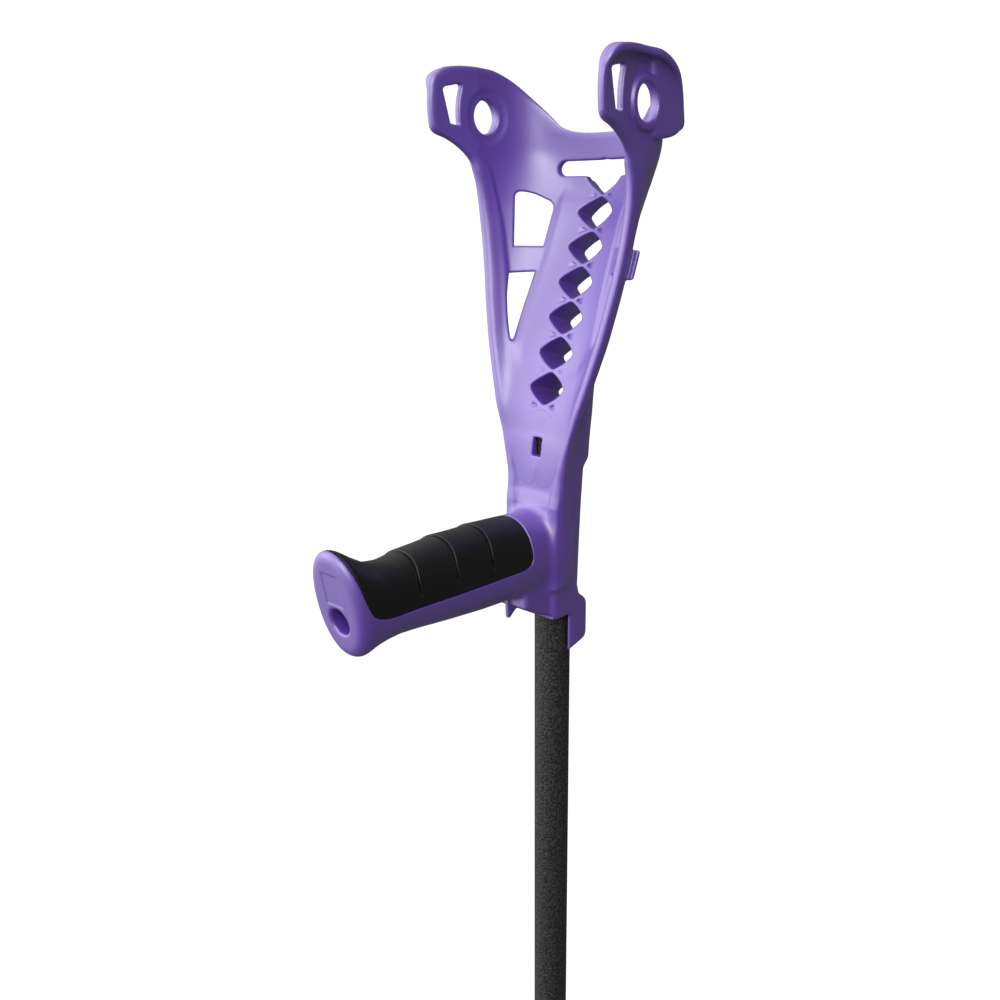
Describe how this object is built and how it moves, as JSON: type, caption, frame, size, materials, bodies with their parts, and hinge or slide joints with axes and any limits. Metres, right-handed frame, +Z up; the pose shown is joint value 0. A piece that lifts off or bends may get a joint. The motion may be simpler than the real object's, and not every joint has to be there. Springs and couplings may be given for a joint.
{
  "type": "forearm crutch",
  "caption": "Forearm crutch: moulded open cuff and forward hand grip on a two-part telescopic tube, with a spring clip that locks the height and a rubber ferrule.",
  "frame": {"origin": "centre of the ferrule's sole, on the floor", "axes": "+Z up along the tube, -Y towards the hand grip (forwards), +X to the user's right when the grip points forwards away from them"},
  "size_m": [0.1178, 0.2019, 0.9702],
  "materials": {
    "purple_plastic": "satin",
    "grip_rubber": "satin",
    "steel": "satin",
    "coated_tube": "textured",
    "plain_tube": "satin",
    "black_plastic": "satin",
    "ferrule_rubber": "matte"
  },
  "bodies": {
    "head": {"cuff_handle_moulding": "purple_plastic", "grip_cover": "grip_rubber", "tube_retaining_screw": "steel", "upper_tube": "coated_tube", "tube_top_plug": "black_plastic", "height_collar": "black_plastic", "anti_rattle_bush": "black_plastic"},
    "lock": {"lock_clip": "black_plastic", "lock_pin": "steel"},
    "lower": {"lower_tube": "plain_tube", "glide_sleeve": "black_plastic", "foot_plug": "black_plastic", "ferrule": "ferrule_rubber", "ferrule_washer": "steel"}
  },
  "joints": [
    {"name": "height_adjust", "type": "slide", "parent": "head", "child": "lower", "axis": [0, 0, -1], "range_m": [0, 0.24]},
    {"name": "lock_release", "type": "slide", "parent": "head", "child": "lock", "axis": [0, 1, 0], "range_m": [0, 0.005], "stiffness_N_per_m": 1500, "springref_m": -0.001}
  ]
}
